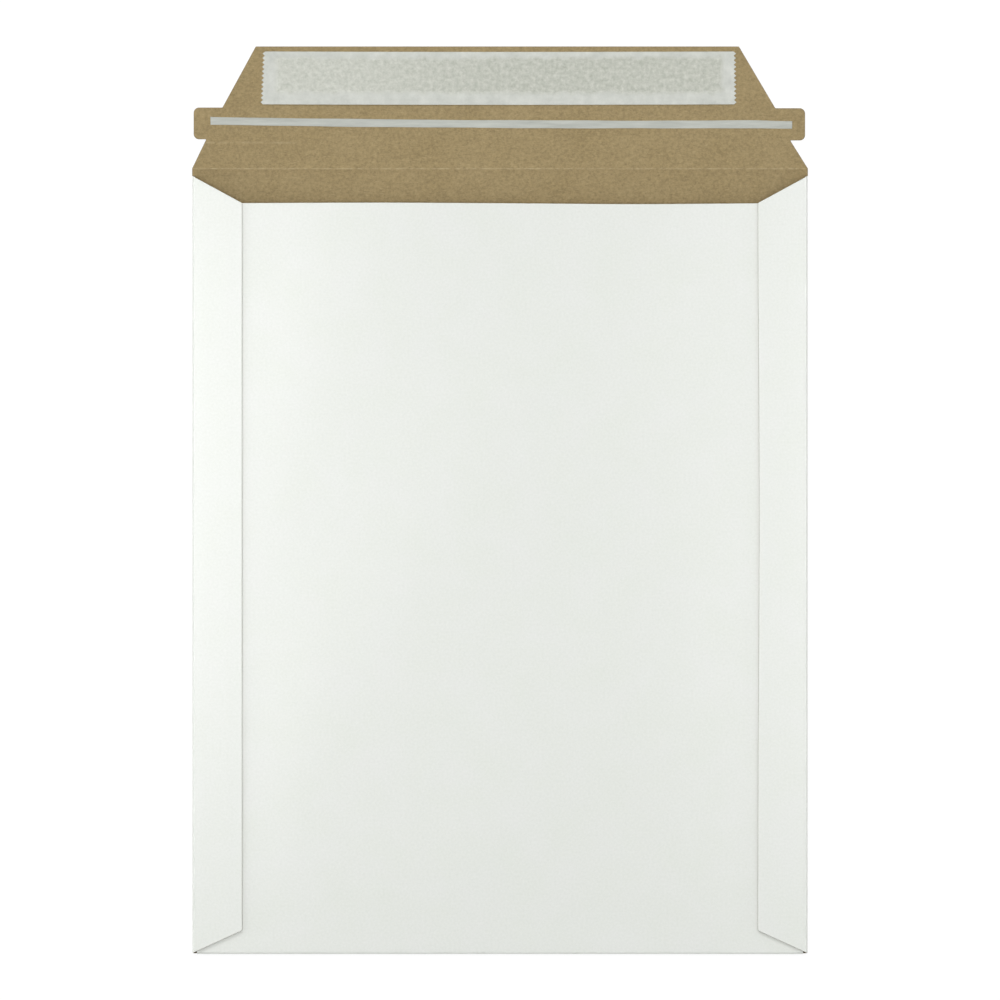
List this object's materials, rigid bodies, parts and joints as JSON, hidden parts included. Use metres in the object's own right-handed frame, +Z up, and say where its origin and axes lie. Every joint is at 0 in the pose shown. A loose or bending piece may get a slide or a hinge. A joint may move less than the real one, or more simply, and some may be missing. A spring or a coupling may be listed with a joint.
{
  "type": "rigid mailer",
  "caption": "Flat stay-stiff board mailer, white outside and kraft inside, with glued side seams, an open closure flap, a tear tape and a peel-off seal.",
  "frame": {"origin": "bottom centre of the whole object's box, on the surface that it lies on", "axes": "+X to the right as seen from above the seam side, +Y from the bottom fold to the closure flap, +Z up out of the seam side"},
  "size_m": [0.2286, 0.3376, 0.0066],
  "materials": {
    "white_board": "satin",
    "kraft_board": "matte",
    "seam_glue": "satin",
    "tape_film": "satin",
    "adhesive_film": "gloss",
    "release_paper": "satin"
  },
  "bodies": {
    "mailer": {"mailer_body": "white_board", "seam_glue_left": "seam_glue", "seam_glue_right": "seam_glue"},
    "flap": {"closure_flap": "kraft_board", "tear_tape": "tape_film", "adhesive_strip": "adhesive_film", "release_liner": "release_paper"}
  },
  "joints": [
    {"name": "flap_hinge", "type": "hinge", "parent": "mailer", "child": "flap", "pos_m": [0, 0.12335, 0.00392], "axis": [1, 0, 0], "range_deg": [0, 180]}
  ]
}
